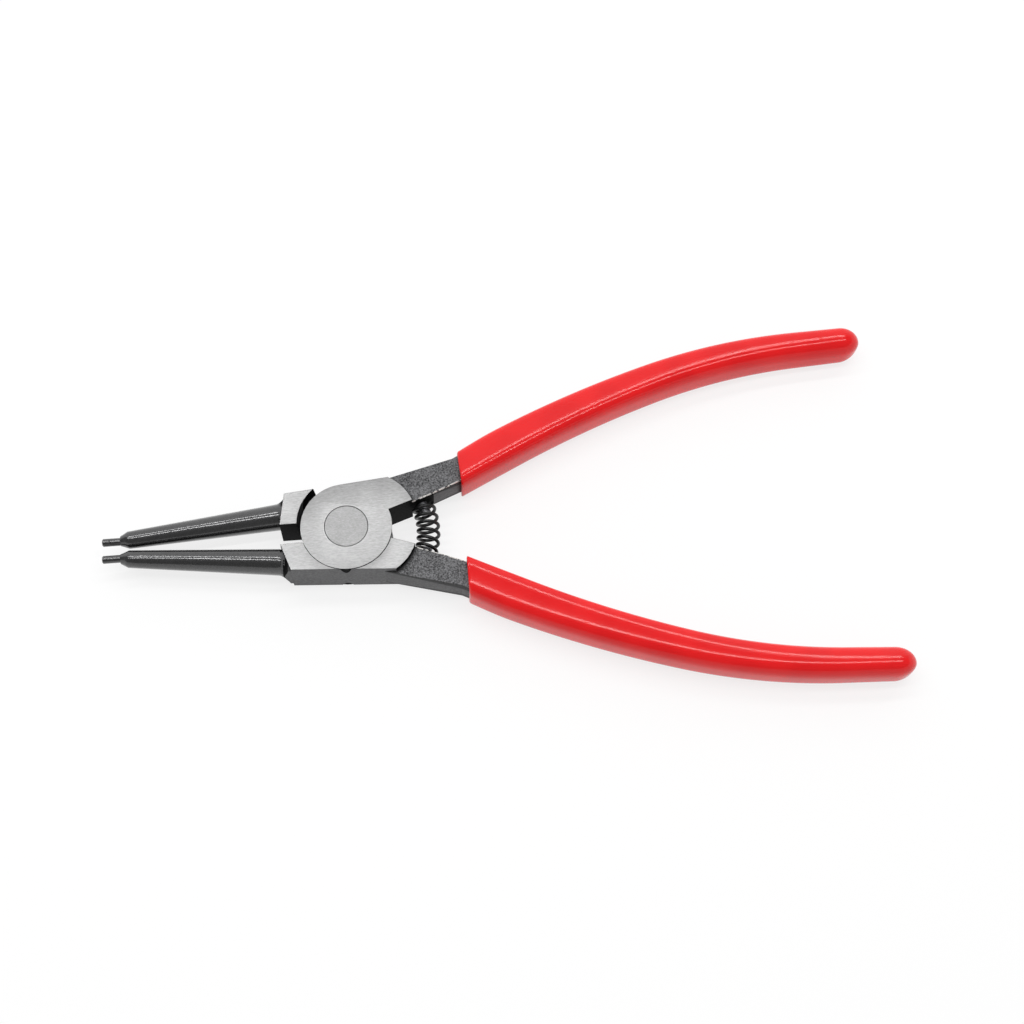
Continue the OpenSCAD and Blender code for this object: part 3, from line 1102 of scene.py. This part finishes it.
@dataclass
class Studio:
    """The plain table, the light and the camera of the product photograph."""

    table: float = 6000.0
    table_gap: float = 0.15
    table_white: str = "#FAFAFA"
    table_roughness: float = 0.9
    # Share of plain white in what the camera and mirrors see of the table; the rest keeps the shadow.
    lift: float = 0.78
    tube_len: float = 1000.0
    tube_w: float = 40.0
    tube_h: float = 600.0
    tube_angles: tuple[float, float] = (2.4, 23.6)
    tube_glow: float = 13.0
    # Light of the far side, the near side and the walls, and where along Y and Z one passes into the next.
    bright: float = 1.1
    dim: float = 0.3
    far_side: Range = (0.3, 0.6)
    wall: float = 0.9
    wall_top: Range = (0.25, 0.45)
    azimuth: float = -9.15
    elevation: float = 67.572
    roll: float = 4.481
    target: Point = (37.777, 2.674)
    distance: float = 401.48
    lens: float = 61.616
    sensor: float = 36.0
    clip: Range = (10.0, 50000.0)

    def build(self) -> None:
        """Set up table, light and camera."""
        self.lay_table()
        self.hang_tubes()
        self.light_room()
        self.place_camera()
        bpy.context.scene.view_settings.view_transform = "Standard"

    def lay_table(self) -> None:
        """Make the white table; what the camera and mirrors see of it is lifted to white."""
        bm = bmesh.new()
        bmesh.ops.create_grid(bm, x_segments=1, y_segments=1, size=self.table / 2 * MM)
        mesh = bpy.data.meshes.new("table")
        bm.to_mesh(mesh)
        bm.free()
        mesh.transform(Matrix.Translation((0, 0, CAD_BOX[0].z - self.table_gap * MM)))
        mesh.materials.append(self.white_laminate())
        table = bpy.data.objects.new("table", mesh)
        bpy.context.scene.collection.objects.link(table)

    def white_laminate(self) -> Material:
        """Make the table's material: matt white laminate, which shows soft shadows and no mirror image.

        Returns:
            The material.
        """
        material, shader, _ = new_material("white_table")
        tree = material.node_tree
        fill(tree, shader, {
            "Base Color": linear(self.table_white), "Roughness": self.table_roughness,
            "Specular IOR Level": 0.0})
        rays = add_node(tree, "ShaderNodeLightPath").outputs
        seen = add_node(tree, "ShaderNodeMath", {
            0: rays["Is Camera Ray"], 1: rays["Is Glossy Ray"]}, operation="ADD")
        clear = add_node(tree, "ShaderNodeMath", {
            0: seen, 1: rays["Is Transmission Ray"]}, operation="ADD", use_clamp=True)
        lift = add_node(tree, "ShaderNodeMath", {0: clear, 1: self.lift}, operation="MULTIPLY")
        white = add_node(tree, "ShaderNodeEmission", {"Color": WHITE, "Strength": 1.0})
        pale = add_node(tree, "ShaderNodeMixShader", {0: lift, 1: shader, 2: white})
        fill(tree, tree.nodes["Material Output"], {"Surface": pale})
        return material

    def hang_tubes(self) -> None:
        """Hang two long light tubes over the table, in line with the picture's width."""
        lean = math.radians(-self.azimuth - self.roll)
        for i, degrees in enumerate(self.tube_angles):
            angle = math.radians(degrees)
            lamp = bpy.data.lights.new(f"tube_{i}", "AREA")
            lamp.shape, lamp.size, lamp.size_y = "RECTANGLE", self.tube_len * MM, self.tube_w * MM
            lamp.energy = self.tube_glow * math.pi * lamp.size * lamp.size_y
            tube = bpy.data.objects.new(f"tube_{i}", lamp)
            bpy.context.scene.collection.objects.link(tube)
            up = Vector((0, math.sin(angle), math.cos(angle)))
            turn = Matrix.Rotation(lean, 4, "Z")
            tube.matrix_world = (
                Matrix.Translation((self.target[0] * MM, self.target[1] * MM, 0)) @ turn
                @ Matrix.Translation(up * self.tube_h * MM / math.cos(angle))
                @ Matrix.Rotation(-angle, 4, "X"))
            tube.visible_camera = False

    def light_room(self) -> None:
        """Light the room: bright walls and far side, dim above the near side, behind the camera."""
        world = bpy.data.worlds.new("room")
        bpy.context.scene.world = world
        world.use_nodes = True
        tree = world.node_tree
        way = add_node(tree, "ShaderNodeTexCoord").outputs["Generated"]
        parts = add_node(tree, "ShaderNodeSeparateXYZ", {0: way}).outputs
        far = add_node(tree, "ShaderNodeMapRange", {
            "Value": parts["Y"], "From Min": self.far_side[0], "From Max": self.far_side[1],
            "To Min": self.dim, "To Max": self.bright}, interpolation_type="SMOOTHSTEP")
        wall = add_node(tree, "ShaderNodeMapRange", {
            "Value": parts["Z"], "From Min": self.wall_top[0], "From Max": self.wall_top[1],
            "To Min": self.wall, "To Max": 0.0}, interpolation_type="SMOOTHSTEP")
        glow = add_node(tree, "ShaderNodeMath", {0: far, 1: wall}, operation="MAXIMUM")
        fill(tree, tree.nodes["Background"], {"Color": WHITE, "Strength": glow})

    def place_camera(self) -> None:
        """Put the camera where the photograph was taken from, at its angle and framing."""
        a, e = math.radians(self.azimuth), math.radians(self.elevation)
        back = Vector((math.sin(a) * math.cos(e), -math.cos(a) * math.cos(e), math.sin(e)))
        middle = Vector((self.target[0] * MM, self.target[1] * MM, (CAD_BOX[0].z + CAD_BOX[1].z) / 2))
        lens = bpy.data.cameras.new("camera")
        lens.sensor_width, lens.lens = self.sensor, self.lens
        lens.clip_start, lens.clip_end = self.clip[0] * MM, self.clip[1] * MM
        camera = bpy.data.objects.new("camera", lens)
        bpy.context.scene.collection.objects.link(camera)
        camera.matrix_world = (
            Matrix.Translation(middle + back * self.distance * MM)
            @ back.to_track_quat("Z", "Y").to_matrix().to_4x4()
            @ Matrix.Rotation(math.radians(self.roll), 4, "Z"))
        bpy.context.scene.camera = camera


def main() -> None:
    """Build the stage, then every piece of the pliers, and report each one."""
    logging.basicConfig(level=logging.INFO, format="%(name)s: %(message)s")
    Studio().build()
    makers = (
        Lever(Side.UPPER, "upper_lever", "upper_lever_forging", Body.UPPER),
        Lever(Side.LOWER, "lower_lever", "lower_lever_forging", Body.LOWER),
        Rivet(),
        ReturnSpring(),
        SpringPeg("upper_spring_peg"),
        SpringPeg("lower_spring_peg"),
        Grip(Side.UPPER, "upper_grip", "upper_grip_coat", Body.UPPER, leans=(0.1, -0.05), mouth_tilt=0.08),
        Grip(Side.LOWER, "lower_grip", "lower_grip_coat", Body.LOWER, leans=(0.075, -0.08)))
    for maker in makers:
        piece = maker.build()
        LOG.info("%s: %d faces", piece.name, len(piece.data.polygons))


if __name__ == "__main__":
    main()
